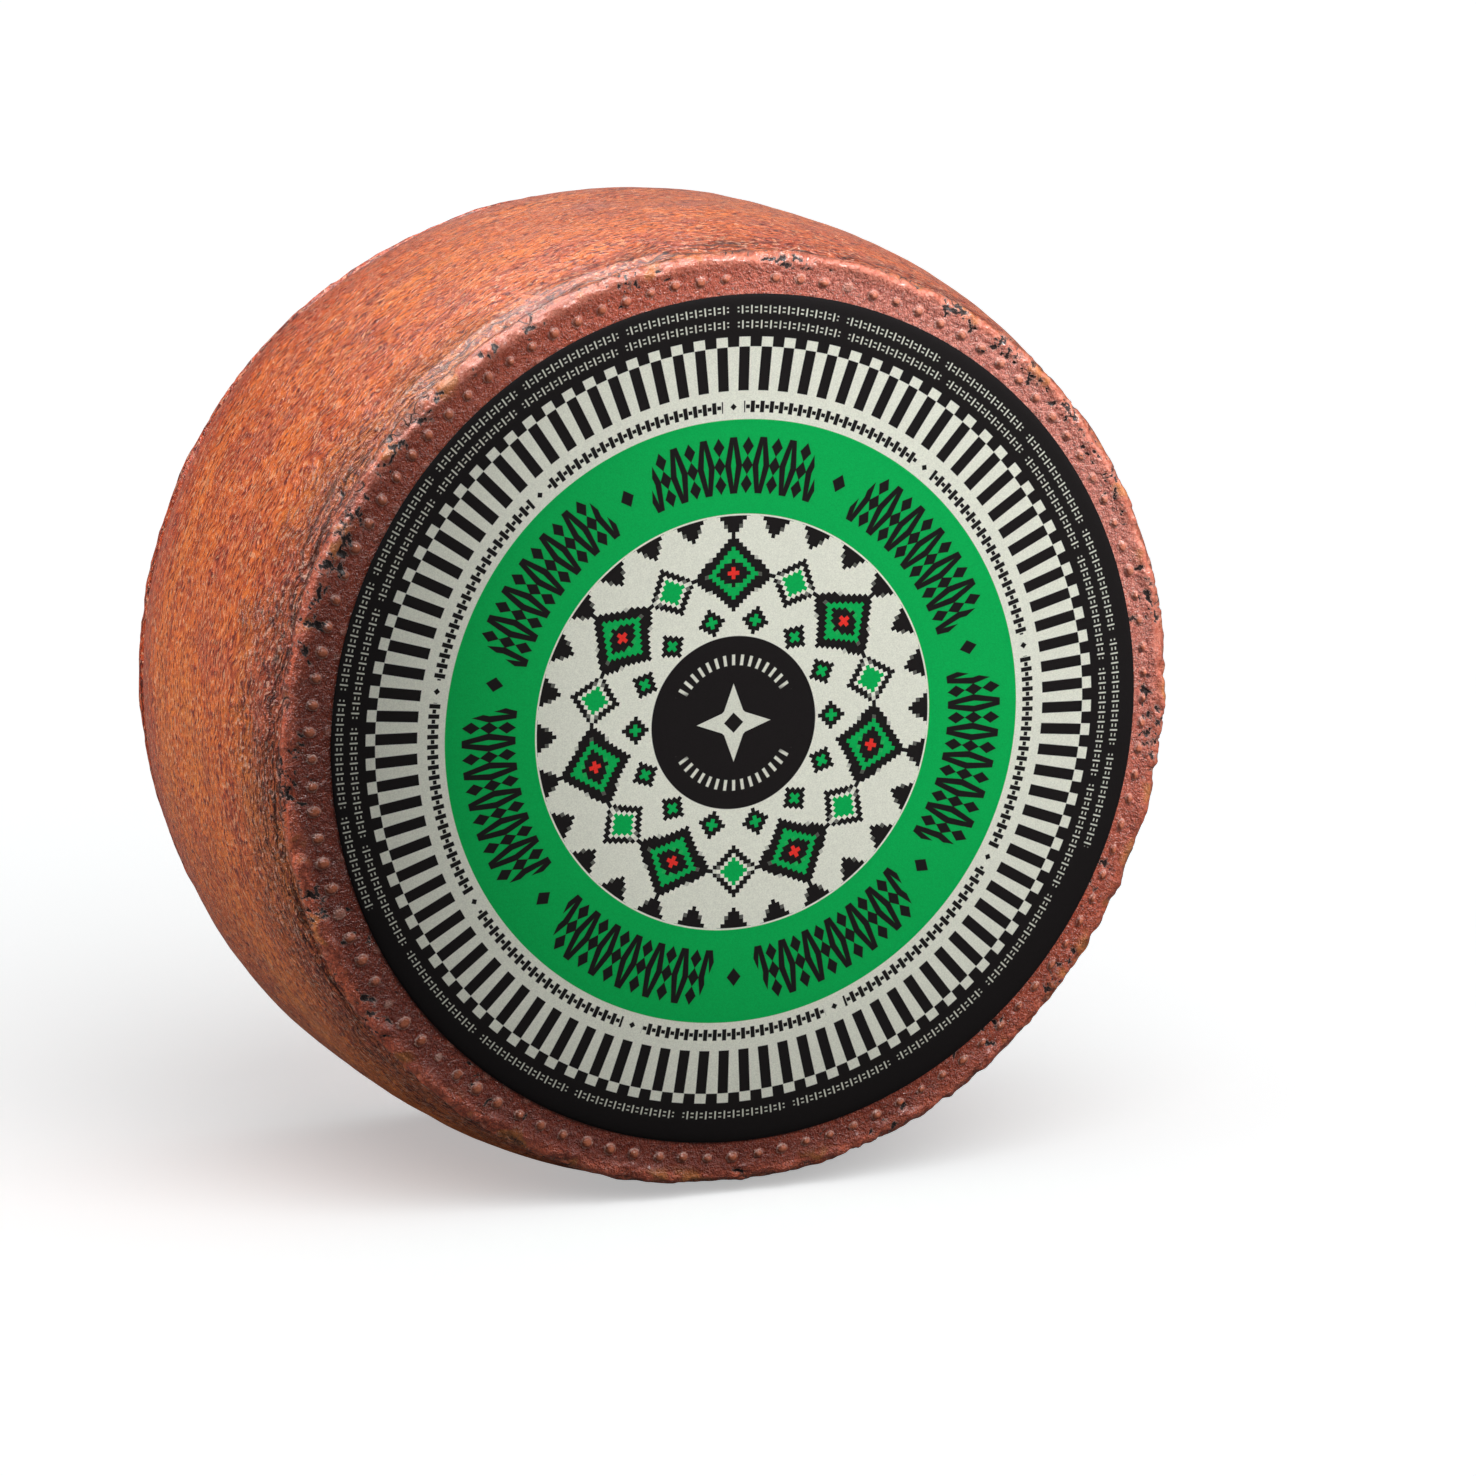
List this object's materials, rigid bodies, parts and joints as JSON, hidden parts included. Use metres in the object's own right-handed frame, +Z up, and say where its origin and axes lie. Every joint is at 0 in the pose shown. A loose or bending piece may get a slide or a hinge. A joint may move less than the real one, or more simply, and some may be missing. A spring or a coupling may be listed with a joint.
{
  "type": "pecorino cheese wheel",
  "caption": "Whole wheel of hard sheep's cheese standing on its barrel-shaped side, with a nubbed rim, raised lips, a rubbed brown rind and a round paper label on its front face.",
  "frame": {"origin": "on the floor, under the middle of the standing wheel", "axes": "+Z up, the wheel's axis along Y with the labelled face towards -Y, +X to the right seen from the front"},
  "size_m": [0.2006, 0.0916, 0.1979],
  "materials": {
    "rind": "oiled, rubbed natural rind, satin, finely wrinkled along the side, darker on the rim",
    "label_paper": null
  },
  "bodies": {
    "root": {"wheel": "rind", "label": "label_paper"}
  },
  "joints": []
}
